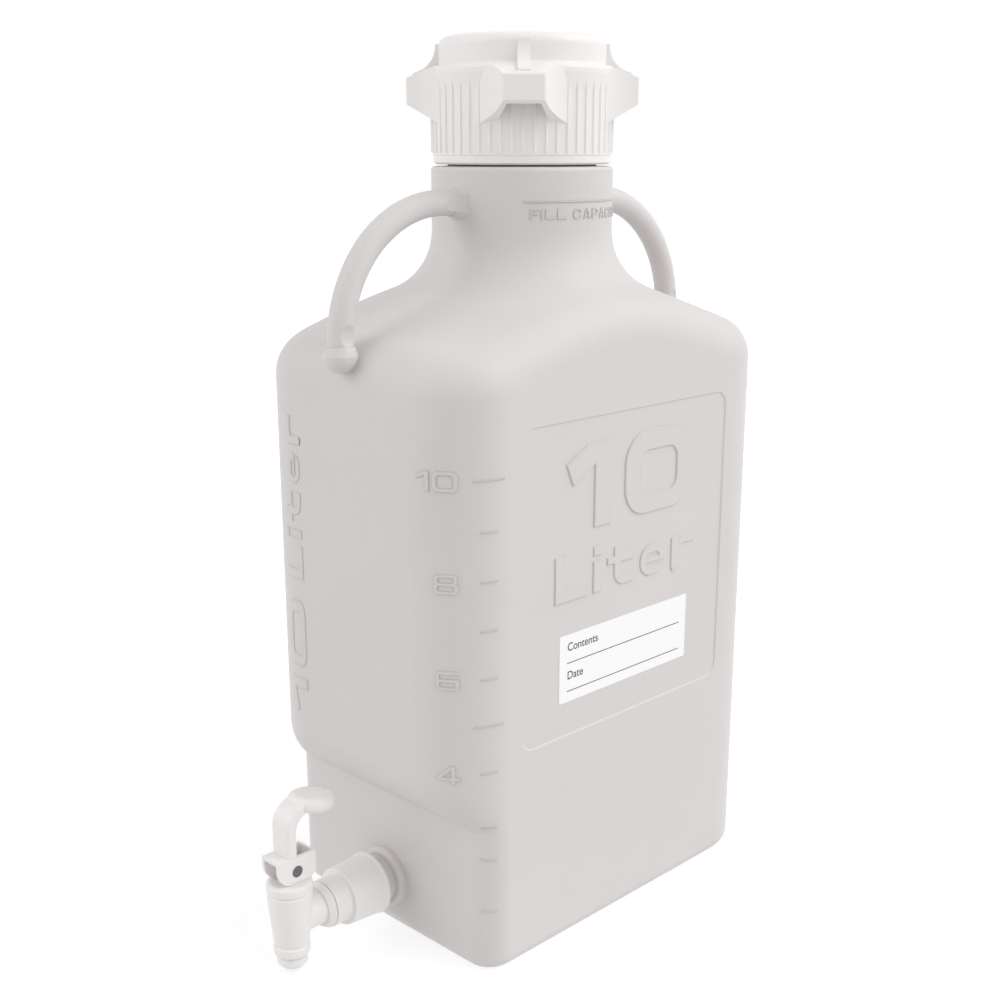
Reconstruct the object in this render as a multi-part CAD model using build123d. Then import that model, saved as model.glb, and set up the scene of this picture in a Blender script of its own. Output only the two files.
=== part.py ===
"""Carboy of ten litres with two bar handles, a lugged screw cap and a lever spigot.

Millimetres, +Z up. The origin is on the neck's axis, in the plane that the base rests on.
-Y is the front, where the spigot is; +X is the broad side with the framed panel.
Every sub-part is one STEP file in parts/, named after its node.
"""

import os
from math import cos, hypot, pi, radians, sin, tan

from build123d import *

# ---------------------------------------------------------------- bottle
BODY_WIDTH = 165.0            # X, between the two broad sides
BODY_DEPTH = 254.0            # Y, front face to rear face
WALL = 2.8                    # blown wall
CORNER_RADIUS = 35.3          # upright corners
BASE_FILLET = 8.0
RECESS_DEPTH = 19.4           # how far the lower front wall stands back
RECESS_HEIGHT = 82.5          # where its ceiling starts
RECESS_CEILING_RISE = 27.0    # height over which the ceiling runs out to the front face
RECESS_CORNER_RADIUS = 16.0   # lower front corners
CEILING_STEPS = 6             # sections that carry the ceiling's curve
CEILING_POWER = 1.8           # 1 is a straight slope, more is rounder at the top

SHOULDER_SLOPE = 21.4         # degrees below level, all round the neck
SHOULDER_HEIGHT = 341.5       # height of the sloping shoulder at SHOULDER_GAUGE from the axis
SHOULDER_GAUGE = 99.0
SHOULDER_FILLET = 24.0        # between shoulder and upright walls
NECK_RADIUS = 49.5
NECK_HEIGHT = 418.0           # top of the wide part of the neck
NECK_ROOT_FILLET = 35.0
NECK_TOP_FILLET = 2.0
FINISH_RADIUS = 40.5          # plain cylinder under the cap, where the thread goes
FINISH_HEIGHT = 478.0
FINISH_WALL = 4.0

PANEL_MARGIN = 44.5           # from the front and rear faces to the framed panel's edges
PANEL_BOTTOM = 123.5
PANEL_TOP = 294.0
PANEL_CORNER = 8.0
PANEL_SINK = 0.7
PANEL_SLOPE = 50.0            # degrees that the sunk panel's edges lean outwards

LABEL_LENGTH = 107.5
LABEL_HEIGHT = 38.0
LABEL_CENTRE_Y = -0.75
LABEL_CENTRE_Z = 161.0
LABEL_THICKNESS = 0.2
LABEL_CORNER = 1.0

# ---------------------------------------------------------------- handles
BAR_RADIUS = 6.7
BAR_LEVEL = 399.9             # height of the bar where it leaves the neck
BAR_STAND_OUT = 2.4           # how far its upright centre line stands beyond the end faces
BAR_STRAIGHT = 61.4           # distance from the axis where the bend starts
GRIP_MARK_DEPTH = 1.4         # shallow scoops that the mould leaves beside both ends
GRIP_MARK_LENGTH = 11.0
PAD_WALL = 0.6                # bottle wall formed round the bar's ends
NECK_PAD_REACH = 5.5          # from the neck's surface
NECK_PAD_SINK = 1.6           # how deep the flare starts inside it
NECK_PAD_FLARE = 6.0
FOOT_PAD_RISE = 1.5           # heights relative to the shoulder's outer edge
FOOT_PAD_FULL = -3.0          # where the pad is widest
FOOT_PAD_DROP = -12.0
FOOT_PAD_RADIUS = 9.0
FOOT_PAD_ROUND = 8.4          # how round it is underneath
BAR_FOOT = -8.0

# ---------------------------------------------------------------- cap
CAP_GAP = 1.0                 # dark joint between the neck and the cap
CAP_ROOF = 3.2
CAP_ROOM = 1.7                # between the neck's finish and the cap, for the thread
SKIRT_WALL = 6.4
SKIRT_FOOT_DRAFT = 0.5        # how far the skirt's foot stands back
SKIRT_FLARE = 1.3             # how far its top stands out
SKIRT_FLARE_BOTTOM = 456.0
SKIRT_FLARE_TOP = 464.5
SKIRT_TOP = 469.0
DRUM_WALL = 2.6
DRUM_EDGE = 5.4
RIB_COUNT = 52
RIB_BOTTOM = 425.0
RIB_TOP = 462.0
RIB_ROOT_WIDTH = 1.7
RIB_CREST_WIDTH = 0.6
RIB_HEIGHT = 0.8
LUG_COUNT = 4
LUG_START = -45.0             # degrees; one lug faces the front right corner
LUG_STAND_OUT = 13.2          # beyond the skirt
LUG_FACE_WIDTH = 21.5
LUG_ROOT_SPREAD = 31.0        # degrees each side, where its flanks run out on the skirt
LUG_WAIST_WIDTH = 31.0
LUG_WAIST_BACK = 10.3         # from the face
LUG_FACE_BOTTOM = 449.8
LUG_FACE_TOP = 463.0
LUG_ROOT_BOTTOM = 442.3       # on the skirt; the underside slopes on below it between the lugs
LUG_OPENING = 25.0            # width of the open underside at the skirt
LUG_WALL = 2.2
LUG_EDGE = 1.3
FIN_WIDTH = 6.3
FIN_TOP = 480.5
FIN_TOP_DEPTH = 1.6           # beyond the drum
FIN_TOE_BACK = 4.2            # from the lug's face
FIN_TOE_TOP = 466.2
FIN_STEP = 1.2
GASKET_THICKNESS = 3.0

# ---------------------------------------------------------------- outlet and spigot
OUTLET_Z = 30.5               # height of the outlet's axis
BOSS_RADIUS = 17.4
BOSS_REACH = 5.0
NOZZLE_RADIUS = 13.4          # plain cylinder under the outlet's thread
NOZZLE_REACH = 22.0           # from the recessed wall
NOZZLE_BORE = 9.0
NOZZLE_GASKET_THICKNESS = 2.0
SHANK_FLANGE_RADIUS = 12.6
SHANK_FLANGE_THICKNESS = 3.0
SHANK_RADIUS = 9.4
SHANK_COLLAR_RADIUS = 12.8
SHANK_COLLAR_NOSE = 11.0      # radius at the collar's front edge
INLET_RADIUS = 6.0
CLOSURE_MOUTH_RADIUS = 17.2
CLOSURE_STEP_RADIUS = 16.0
CLOSURE_END_RADIUS = 13.3
CLOSURE_MOUTH_AT = 12.4       # distances along the outlet from the recessed wall
CLOSURE_STEP_AT = 35.3
CLOSURE_END_AT = 45.5
COLLAR_BACK_AT = 45.7
COLLAR_FRONT_AT = 47.0
COLLAR_NOSE_AT = 49.6
BARREL_AT = 67.4
THREAD_GAP = 0.5

BARREL_TOP = 48.3
BARREL_TOP_RADIUS = 12.2
BARREL_FOOT_RADIUS = 9.7
BARREL_BORE = 8.6
SPOUT_BOTTOM = 3.6
SPOUT_TIP_RADIUS = 6.0
LOWER_BEAD_RADIUS = 8.4       # beads that hold a tube pushed over the spout
LOWER_BEAD_BOTTOM = 6.0
LOWER_BEAD_TOP = 9.4
UPPER_BEAD_RADIUS = 9.9
UPPER_BEAD_BOTTOM = 11.9
UPPER_BEAD_TOP = 16.3
BEAD_GROOVE_RADIUS = 7.3
BEAD_NECK_RADIUS = 8.9
BARREL_FLARE_DEPTH = 8.3      # straight top part of the barrel
SPOUT_BORE = 4.8
SEAT_Z = 25.0
SEAT_RADIUS = 6.4
BONNET_RISE = 6.2             # above the barrel
BONNET_RADIUS = 12.4
BONNET_PLUG_DEPTH = 4.8       # inside the barrel
SLIDING_GAP = 0.08
STEM_RADIUS = 2.4
STEM_FOOT_Z = 28.0
STEM_FOOT_RADIUS = 4.0
STEM_FOOT_HEIGHT = 2.2
CUP_RADIUS = 7.4
CUP_TOP = 34.0
CUP_SHOULDER = 29.0
SPRING_WIRE = 0.55
SPRING_RADIUS = 4.3
SPRING_TURNS = 5.0

PIN_Y_OFFSET = 0.5            # the pin stands this far behind the barrel's axis
PIN_RISE = 6.8                # above the bonnet
PIN_RADIUS = 3.2
PIN_GAP = 0.05
EYE_RADIUS = 5.0
EAR_OUTER = 7.2               # half width over the two ears
EAR_INNER = 5.2
EAR_SIDE_GAP = 0.25
EAR_REAR = 12.2               # from the pin
EAR_REAR_WALL = 1.6
EAR_TOP = 8.2
EAR_REAR_CUT = 3.4
LEVER_SEAT_GAP = 0.15         # ears above the bonnet at rest
STEM_LIFT = 5.5
LEVER_TRAVEL = 90.0           # degrees
BRIDGE_THICKNESS = 1.7
ARM_WIDTH = 14.4
ARM_FRONT = 5.1               # ahead of the pin
ARM_THICKNESS = 5.6
ARM_OUTER_BEND = 13.0
ARM_TOP = 36.6                # above the pin
PAD_CENTRE = 16.2             # behind the pin
PAD_HALF_LENGTH = 12.9
PAD_HALF_WIDTH = 12.4
PAD_THICKNESS = 7.8
PAD_TILT = -8.0

FINE = 0.6                    # small edge rounding on moulded pieces


# ---------------------------------------------------------------- helpers
def turned(points, rounds=()):
    """A solid of revolution about Z from a closed (radius, height) outline.

    rounds lists (corner index, fillet radius) for the outline's corners.
    """
    outline = make_face(Polyline(*[(r, z) for r, z in points], close=True))
    for index, radius in rounds:
        corner = Vector(points[index][0], points[index][1], 0)
        vertex = outline.vertices().sort_by_distance(corner)[0]
        outline = fillet(vertex, radius)
    return revolve(Plane.XZ * outline, Axis.Z)


def along_front(solid):
    """Turn a solid built about Z so that its local height runs towards -Y on the outlet's axis."""
    return Pos(0, 0, OUTLET_Z) * Rot(90, 0, 0) * solid


def body_section(inset, y_front, front_radius, z):
    """The bottle's outline at height z, drawn in by inset."""
    width = BODY_WIDTH - 2 * inset
    front = y_front + inset
    rear = BODY_DEPTH / 2 - inset
    outline = Rectangle(width, rear - front)
    outline = fillet(outline.vertices().group_by(Axis.Y)[0], front_radius - inset)
    outline = fillet(outline.vertices().group_by(Axis.Y)[-1], CORNER_RADIUS - inset)
    return Pos(0, (front + rear) / 2, z) * outline


# ---------------------------------------------------------------- bottle form
FRONT = -BODY_DEPTH / 2
RECESS_FRONT = FRONT + RECESS_DEPTH
CEILING_TOP = RECESS_HEIGHT + RECESS_CEILING_RISE
SHOULDER_DROP = tan(radians(SHOULDER_SLOPE))


def shoulder_height(radius):
    """Height of the sloping shoulder at a distance from the neck's axis."""
    return SHOULDER_HEIGHT + SHOULDER_DROP * (SHOULDER_GAUGE - radius)


def recess_ceiling(inset):
    """The curved underside that carries the front from the recessed wall to its full depth."""
    sections = []
    for step in range(CEILING_STEPS + 1):
        share = step / CEILING_STEPS
        out = 1 - (1 - share) ** CEILING_POWER
        y_front = RECESS_FRONT - RECESS_DEPTH * out
        radius = RECESS_CORNER_RADIUS + (CORNER_RADIUS - RECESS_CORNER_RADIUS) * out
        z = RECESS_HEIGHT + inset + RECESS_CEILING_RISE * share
        sections.append(body_section(inset, y_front, radius, z))
    return loft(sections)


def shoulder_and_neck(inset):
    """Everything under the shoulder's slope and the neck, as a turned block."""
    neck = NECK_RADIUS - inset
    far = hypot(BODY_WIDTH, BODY_DEPTH)
    lowered = inset / cos(radians(SHOULDER_SLOPE))
    points = [
        (0, 0),
        (far, 0),
        (far, shoulder_height(far) - lowered),
        (neck, shoulder_height(neck) - lowered),
        (neck, NECK_HEIGHT - inset),
        (0, NECK_HEIGHT - inset),
    ]
    return turned(points, [(3, NECK_ROOT_FILLET + inset), (4, NECK_TOP_FILLET)])


def bottle_form(inset):
    """The bottle's closed outer form, drawn in all round by inset."""
    lower = extrude(body_section(inset, RECESS_FRONT, RECESS_CORNER_RADIUS, inset),
                    RECESS_HEIGHT)
    lower = fillet(lower.faces().sort_by(Axis.Z)[0].edges(), BASE_FILLET - inset)
    upper_bottom = CEILING_TOP + inset
    upper = extrude(body_section(inset, FRONT, CORNER_RADIUS, upper_bottom),
                    NECK_HEIGHT - upper_bottom)
    upper = upper & shoulder_and_neck(inset)
    edges = upper.edges()
    rim = edges.filter_by(GeomType.HYPERBOLA) + edges.filter_by(GeomType.BSPLINE)
    upper = fillet(rim, SHOULDER_FILLET - inset)
    return lower + recess_ceiling(inset) + upper


BAR_REACH = BODY_DEPTH / 2 + BAR_STAND_OUT
SHOULDER_EDGE = shoulder_height(BODY_DEPTH / 2)
FOOT_PAD_TOP = SHOULDER_EDGE + FOOT_PAD_RISE


def bar_path():
    """Centre line of a handle, in the Y-Z plane, from inside the neck to inside its foot pad."""
    bend = BAR_REACH - BAR_STRAIGHT
    neck_end = (0, NECK_RADIUS - WALL, BAR_LEVEL)
    bend_start = (0, BAR_STRAIGHT, BAR_LEVEL)
    bend_end = (0, BAR_REACH, BAR_LEVEL - bend)
    middle = (0, BAR_STRAIGHT + bend * sin(pi / 4), BAR_LEVEL - bend * (1 - cos(pi / 4)))
    foot = (0, BAR_REACH, SHOULDER_EDGE + BAR_FOOT)
    return (Line(neck_end, bend_start) + ThreePointArc(bend_start, middle, bend_end)
            + Line(bend_end, foot))


def grip_marks():
    """The four shallow round-bottomed scoops that the mould leaves beside the bar's two ends."""
    depth, length = GRIP_MARK_DEPTH, GRIP_MARK_LENGTH
    radius = (length ** 2 / 4 + depth ** 2) / (2 * depth)
    reach = BAR_RADIUS - depth + radius
    scoop = Cylinder(radius, 2 * BAR_RADIUS)
    neck_y = NECK_RADIUS + NECK_PAD_SINK + length / 2
    foot_z = FOOT_PAD_TOP + length / 2
    return [place * scoop for side in (-reach, reach) for place in (
        Pos(side, neck_y, BAR_LEVEL), Pos(side, BAR_REACH, foot_z) * Rot(90, 0, 0))]


def handle_bar():
    """The whole round bar of the rear handle, with its scoops."""
    path = bar_path()
    bar = sweep(Plane(path @ 0, z_dir=path % 0) * Circle(BAR_RADIUS), path=path)
    return bar - grip_marks()


def grip_pads():
    """The bottle's wall where it closes round the rear bar's two ends."""
    radius = BAR_RADIUS + PAD_WALL
    root = NECK_RADIUS - NECK_PAD_SINK
    spread = radius + NECK_PAD_FLARE + 0.2
    neck_pad = turned([
        (0, root - WALL), (spread, root - WALL), (spread, root), (radius, root),
        (radius, NECK_RADIUS + NECK_PAD_REACH), (0, NECK_RADIUS + NECK_PAD_REACH)],
        [(3, NECK_PAD_FLARE), (4, PAD_WALL - 0.1)])
    neck_pad = Pos(0, 0, BAR_LEVEL) * Rot(-90, 0, 0) * neck_pad

    low, full = SHOULDER_EDGE + FOOT_PAD_DROP, SHOULDER_EDGE + FOOT_PAD_FULL
    foot_pad = Pos(0, BAR_REACH) * turned([
        (0, low), (FOOT_PAD_RADIUS, low), (FOOT_PAD_RADIUS, full), (radius, FOOT_PAD_TOP),
        (0, FOOT_PAD_TOP)],
        [(1, FOOT_PAD_ROUND), (3, PAD_WALL - 0.1)])
    return neck_pad + foot_pad - grip_marks()


def make_bottle():
    """The bottle and its two handles."""
    outside = bottle_form(0)
    cavity = bottle_form(WALL)
    rear_bar = handle_bar() - outside
    front_bar = Rot(0, 0, 180) * rear_bar

    finish = Pos(0, 0, NECK_HEIGHT - WALL) * Cylinder(
        FINISH_RADIUS, FINISH_HEIGHT - NECK_HEIGHT + WALL,
        align=(Align.CENTER, Align.CENTER, Align.MIN))
    mouth = Pos(0, 0, NECK_HEIGHT - 2 * WALL) * Cylinder(
        FINISH_RADIUS - FINISH_WALL, FINISH_HEIGHT, align=(Align.CENTER, Align.CENTER, Align.MIN))
    boss = along_front(turned([
        (0, -RECESS_FRONT - WALL / 2), (BOSS_RADIUS, -RECESS_FRONT - WALL / 2),
        (BOSS_RADIUS, -RECESS_FRONT + BOSS_REACH), (NOZZLE_RADIUS, -RECESS_FRONT + BOSS_REACH),
        (NOZZLE_RADIUS, -RECESS_FRONT + NOZZLE_REACH), (0, -RECESS_FRONT + NOZZLE_REACH)],
        [(2, 3.0)]))
    bore = along_front(Pos(0, 0, -RECESS_FRONT - 2 * WALL) * Cylinder(
        NOZZLE_BORE, NOZZLE_REACH + 3 * WALL, align=(Align.CENTER, Align.CENTER, Align.MIN)))
    panel = Plane.YZ.offset(BODY_WIDTH / 2 - PANEL_SINK) * Pos(
        0, (PANEL_BOTTOM + PANEL_TOP) / 2) * RectangleRounded(
        BODY_DEPTH - 2 * PANEL_MARGIN, PANEL_TOP - PANEL_BOTTOM, PANEL_CORNER)

    pads = grip_pads()
    body = outside + pads + Rot(0, 0, 180) * pads + finish + boss
    body = body - cavity - mouth - bore - extrude(panel, 2 * PANEL_SINK, taper=-PANEL_SLOPE)
    body = body - rear_bar - front_bar
    return body, front_bar, rear_bar


def make_label():
    """The write-on label in the panel."""
    face = Plane.YZ.offset(BODY_WIDTH / 2 - PANEL_SINK) * Pos(
        LABEL_CENTRE_Y, LABEL_CENTRE_Z) * RectangleRounded(LABEL_LENGTH, LABEL_HEIGHT, LABEL_CORNER)
    return extrude(face, LABEL_THICKNESS)


# ---------------------------------------------------------------- cap
CAP_BOTTOM = NECK_HEIGHT + CAP_GAP
CAP_CEILING = FINISH_HEIGHT + GASKET_THICKNESS
CAP_TOP = CAP_CEILING + CAP_ROOF
CAP_BORE_RADIUS = FINISH_RADIUS + CAP_ROOM
SKIRT_RADIUS = CAP_BORE_RADIUS + SKIRT_WALL
SHELF_RADIUS = SKIRT_RADIUS + SKIRT_FLARE
DRUM_RADIUS = CAP_BORE_RADIUS + DRUM_WALL
LUG_REACH = SKIRT_RADIUS + LUG_STAND_OUT
LUG_ROOT_TOP = SKIRT_TOP - 1.5


def lug_plan():
    """A lug's outline at +X, with flanks that flare into the skirt."""
    face = (LUG_REACH, LUG_FACE_WIDTH / 2)
    waist = (LUG_REACH - LUG_WAIST_BACK, LUG_WAIST_WIDTH / 2)
    spread = radians(LUG_ROOT_SPREAD)
    foot = (SKIRT_RADIUS * cos(spread), SKIRT_RADIUS * sin(spread))
    below = [(x, -y) for x, y in (foot, waist, face)]
    return make_face([
        ThreePointArc(*below),
        Line(below[-1], face),
        ThreePointArc(face, waist, foot),
        Line(foot, below[0]),
    ])


def cap_lug():
    """One hollow grip lug at +X: flared in plan, with a sloping open underside."""
    slope = (LUG_FACE_BOTTOM - LUG_ROOT_BOTTOM) / (LUG_REACH - SKIRT_RADIUS)
    back = CAP_BORE_RADIUS - 5.0
    low = LUG_FACE_BOTTOM - slope * (LUG_REACH - back)
    side = Plane.XZ * make_face(Polyline(
        (back, low), (LUG_REACH, LUG_FACE_BOTTOM), (LUG_REACH, LUG_FACE_TOP),
        (SHELF_RADIUS, LUG_ROOT_TOP), (back, LUG_ROOT_TOP), close=True))
    block = Pos(0, 0, low) * extrude(lug_plan(), CAP_TOP - low)
    block = block & extrude(side, LUG_WAIST_WIDTH, both=True)
    face = block.faces().sort_by(Axis.X)[-1]
    block = fillet(face.edges(), LUG_EDGE)

    mouth = LUG_FACE_WIDTH / 2 - LUG_WALL
    roof = Plane.XZ * make_face(Polyline(
        (SKIRT_RADIUS - 1, low), (LUG_REACH - LUG_WALL, low),
        (LUG_REACH - LUG_WALL, LUG_FACE_TOP - LUG_WALL),
        (SKIRT_RADIUS - 1, LUG_ROOT_TOP - LUG_WALL), close=True))
    opening = make_face(Polyline(
        (SKIRT_RADIUS - 1, -LUG_OPENING / 2), (LUG_REACH - LUG_WALL, -mouth),
        (LUG_REACH - LUG_WALL, mouth), (SKIRT_RADIUS - 1, LUG_OPENING / 2), close=True))
    hollow = Pos(0, 0, low) * extrude(opening, CAP_TOP - low)
    return block - (hollow & extrude(roof, LUG_WAIST_WIDTH, both=True))


def cap_fin():
    """The curved rib that stiffens one lug from the drum's wall, with a small step at its foot."""
    root = CAP_BORE_RADIUS + 0.5
    low = LUG_FACE_TOP - LUG_WALL
    crest = DRUM_RADIUS + FIN_TOP_DEPTH
    toe = LUG_REACH - FIN_TOE_BACK
    outline = make_face([
        Polyline((root, low), (root, FIN_TOP), (crest, FIN_TOP)),
        ThreePointArc((crest, FIN_TOP), ((crest + toe) / 2 - 2.2, (FIN_TOP + FIN_TOE_TOP) / 2 - 2.6),
                      (toe, FIN_TOE_TOP)),
        Polyline((toe, FIN_TOE_TOP), (toe + FIN_STEP, FIN_TOE_TOP - FIN_STEP),
                 (toe + FIN_STEP, low), (root, low)),
    ])
    return extrude(Plane.XZ * outline, FIN_WIDTH / 2, both=True)


def cap_rib():
    """One thin upright grip rib at +X, wedge-shaped in plan."""
    root = SKIRT_RADIUS - 1.0
    slope = (RIB_ROOT_WIDTH - RIB_CREST_WIDTH) / 2 / RIB_HEIGHT
    root_half = RIB_CREST_WIDTH / 2 + slope * (RIB_HEIGHT + 1.0)
    crest = SKIRT_RADIUS + RIB_HEIGHT
    plan = make_face(Polyline(
        (root, -root_half), (crest, -RIB_CREST_WIDTH / 2), (crest, RIB_CREST_WIDTH / 2),
        (root, root_half), close=True))
    return Pos(0, 0, RIB_BOTTOM) * extrude(plan, RIB_TOP - RIB_BOTTOM)


def make_cap():
    """The one-piece closure: ribbed skirt, raised drum, four lugs and their fins."""
    foot = SKIRT_RADIUS - SKIRT_FOOT_DRAFT
    shell = turned([
        (0, CAP_TOP), (DRUM_RADIUS, CAP_TOP), (DRUM_RADIUS, SKIRT_TOP), (SHELF_RADIUS, SKIRT_TOP),
        (SHELF_RADIUS, SKIRT_FLARE_TOP), (SKIRT_RADIUS, SKIRT_FLARE_BOTTOM),
        (SKIRT_RADIUS, RIB_BOTTOM - 1.0), (foot, RIB_BOTTOM - 1.5), (foot, CAP_BOTTOM + 1.0),
        (foot - 1.5, CAP_BOTTOM), (CAP_BORE_RADIUS, CAP_BOTTOM), (CAP_BORE_RADIUS, CAP_CEILING),
        (0, CAP_CEILING)],
        [(1, DRUM_EDGE), (2, 1.5), (3, 2.6), (5, 12.0)])
    bore = Pos(0, 0, CAP_BOTTOM) * Cylinder(
        CAP_BORE_RADIUS, CAP_CEILING - CAP_BOTTOM, align=(Align.CENTER, Align.CENTER, Align.MIN))
    lug, fin, rib = cap_lug(), cap_fin(), cap_rib()
    lug_angles = [LUG_START + 360 / LUG_COUNT * k for k in range(LUG_COUNT)]
    rib_angles = [LUG_START + 360 / RIB_COUNT * k for k in range(RIB_COUNT)]
    cap = shell + [Rot(0, 0, a) * lug for a in lug_angles]
    cap = cap + [Rot(0, 0, a) * fin for a in lug_angles]
    cap = cap + [Rot(0, 0, a) * rib for a in rib_angles]
    return cap - bore


def make_cap_gasket():
    """The flat ring that the cap presses on the mouth."""
    ring = Cylinder(FINISH_RADIUS, GASKET_THICKNESS)
    ring -= Cylinder(FINISH_RADIUS - FINISH_WALL, GASKET_THICKNESS)
    return Pos(0, 0, FINISH_HEIGHT + GASKET_THICKNESS / 2) * ring


# ---------------------------------------------------------------- outlet
OUTLET_ROOT = -RECESS_FRONT
NOZZLE_END = OUTLET_ROOT + NOZZLE_REACH
FLANGE_FACE = NOZZLE_END + NOZZLE_GASKET_THICKNESS
FLANGE_END = FLANGE_FACE + SHANK_FLANGE_THICKNESS


def make_nozzle_gasket():
    """The washer between the outlet's mouth and the spigot's flange."""
    ring = turned([(NOZZLE_BORE, NOZZLE_END), (SHANK_FLANGE_RADIUS, NOZZLE_END),
                   (SHANK_FLANGE_RADIUS, FLANGE_FACE), (NOZZLE_BORE, FLANGE_FACE)])
    return along_front(ring)


def make_nozzle_closure():
    """The screw sleeve that draws the spigot's flange against the outlet."""
    bore = NOZZLE_RADIUS + THREAD_GAP
    pipe = SHANK_RADIUS + THREAD_GAP
    mouth = OUTLET_ROOT + CLOSURE_MOUTH_AT
    step = OUTLET_ROOT + CLOSURE_STEP_AT
    end = OUTLET_ROOT + CLOSURE_END_AT
    sleeve = turned([
        (bore, mouth), (CLOSURE_MOUTH_RADIUS + 0.4, mouth), (CLOSURE_MOUTH_RADIUS + 0.4, mouth + 1.6),
        (CLOSURE_MOUTH_RADIUS, mouth + 2.2), (CLOSURE_STEP_RADIUS, step),
        (CLOSURE_END_RADIUS + 0.5, step), (CLOSURE_END_RADIUS, step + 0.8), (CLOSURE_END_RADIUS, end),
        (pipe, end), (pipe, FLANGE_END), (bore, FLANGE_END)], [(4, 0.9), (7, 0.6)])
    return along_front(sleeve)


# ---------------------------------------------------------------- spigot
BARREL_Y = -(OUTLET_ROOT + BARREL_AT)
BONNET_TOP = BARREL_TOP + BONNET_RISE
BONNET_PLUG_BOTTOM = BARREL_TOP - BONNET_PLUG_DEPTH
PIN_Z = BONNET_TOP + PIN_RISE


def make_spigot_body():
    """Upright tapered barrel with its beaded spout, and the level shank to the outlet."""
    barrel = turned([
        (0, SPOUT_BOTTOM), (SPOUT_TIP_RADIUS, SPOUT_BOTTOM),
        (LOWER_BEAD_RADIUS, LOWER_BEAD_BOTTOM), (LOWER_BEAD_RADIUS, LOWER_BEAD_TOP),
        (BEAD_GROOVE_RADIUS, LOWER_BEAD_TOP + 0.7), (BEAD_GROOVE_RADIUS, UPPER_BEAD_BOTTOM - 0.9),
        (UPPER_BEAD_RADIUS, UPPER_BEAD_BOTTOM), (UPPER_BEAD_RADIUS, UPPER_BEAD_TOP),
        (BEAD_NECK_RADIUS, UPPER_BEAD_TOP + 0.9), (BARREL_FOOT_RADIUS, UPPER_BEAD_TOP + 2.7),
        (BARREL_TOP_RADIUS - 0.4, BARREL_TOP - BARREL_FLARE_DEPTH),
        (BARREL_TOP_RADIUS, BARREL_TOP - 1.0), (BARREL_TOP_RADIUS - 0.5, BARREL_TOP),
        (0, BARREL_TOP)], [(1, 1.0), (2, 0.6), (3, 0.6), (6, 0.6), (7, 0.6)])
    barrel = Pos(0, BARREL_Y, 0) * barrel
    back = OUTLET_ROOT + COLLAR_BACK_AT
    shank = along_front(turned([
        (0, FLANGE_FACE), (SHANK_FLANGE_RADIUS, FLANGE_FACE), (SHANK_FLANGE_RADIUS, FLANGE_END),
        (SHANK_RADIUS, FLANGE_END), (SHANK_RADIUS, back), (SHANK_COLLAR_RADIUS, back),
        (SHANK_COLLAR_RADIUS, OUTLET_ROOT + COLLAR_FRONT_AT),
        (SHANK_COLLAR_NOSE, OUTLET_ROOT + COLLAR_NOSE_AT),
        (SHANK_RADIUS, OUTLET_ROOT + COLLAR_NOSE_AT), (SHANK_RADIUS, -BARREL_Y), (0, -BARREL_Y)],
        [(5, 0.5), (6, 0.6)]))
    inlet = along_front(Pos(0, 0, FLANGE_FACE) * Cylinder(
        INLET_RADIUS, -BARREL_Y - FLANGE_FACE, align=(Align.CENTER, Align.CENTER, Align.MIN)))
    chamber = Pos(0, BARREL_Y, 0) * turned([
        (0, 0), (SPOUT_BORE, 0), (SPOUT_BORE, SEAT_Z), (SEAT_RADIUS, SEAT_Z),
        (SEAT_RADIUS, SEAT_Z - 1.5), (BARREL_BORE, SEAT_Z - 1.5), (BARREL_BORE, BARREL_TOP + 1),
        (0, BARREL_TOP + 1)])
    return barrel + shank - chamber - inlet


def make_bonnet():
    """The rolled-rim top of the barrel, which guides the stem."""
    guide = STEM_RADIUS + SLIDING_GAP
    plug = BARREL_BORE - 0.02
    return Pos(0, BARREL_Y, 0) * turned([
        (guide, BONNET_PLUG_BOTTOM), (plug, BONNET_PLUG_BOTTOM), (plug, BARREL_TOP),
        (BONNET_RADIUS, BARREL_TOP), (BONNET_RADIUS, BONNET_TOP), (guide, BONNET_TOP)],
        [(3, 1.2), (4, 2.6)])


def make_valve_stem():
    """The rod with the pin's eye on top and the cup's button at its foot."""
    rod = turned([
        (0, STEM_FOOT_Z), (STEM_FOOT_RADIUS, STEM_FOOT_Z),
        (STEM_FOOT_RADIUS, STEM_FOOT_Z + STEM_FOOT_HEIGHT),
        (STEM_RADIUS, STEM_FOOT_Z + STEM_FOOT_HEIGHT), (STEM_RADIUS, PIN_Z), (0, PIN_Z)],
        [(1, 0.6), (2, 0.6)])
    eye_length = 2 * (EAR_INNER - EAR_SIDE_GAP)
    eye = Pos(0, PIN_Y_OFFSET, PIN_Z) * Rot(0, 90, 0) * (
        Cylinder(EYE_RADIUS, eye_length) - Cylinder(PIN_RADIUS, eye_length))
    pin_room = Pos(0, PIN_Y_OFFSET, PIN_Z) * Rot(0, 90, 0) * Cylinder(PIN_RADIUS, eye_length)
    return Pos(0, BARREL_Y, 0) * (rod + eye - pin_room)


def make_seat_cup(stem):
    """The soft cup that closes the seat, moulded round the stem's button."""
    cup = Pos(0, BARREL_Y, 0) * turned([
        (0, SEAT_Z), (CUP_RADIUS, SEAT_Z), (CUP_RADIUS, CUP_SHOULDER),
        (SPRING_RADIUS - 2 * SPRING_WIRE, CUP_TOP - 2.5), (SPRING_RADIUS - 2 * SPRING_WIRE, CUP_TOP),
        (0, CUP_TOP)], [(1, 1.0), (2, 1.5)])
    return cup - stem


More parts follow.
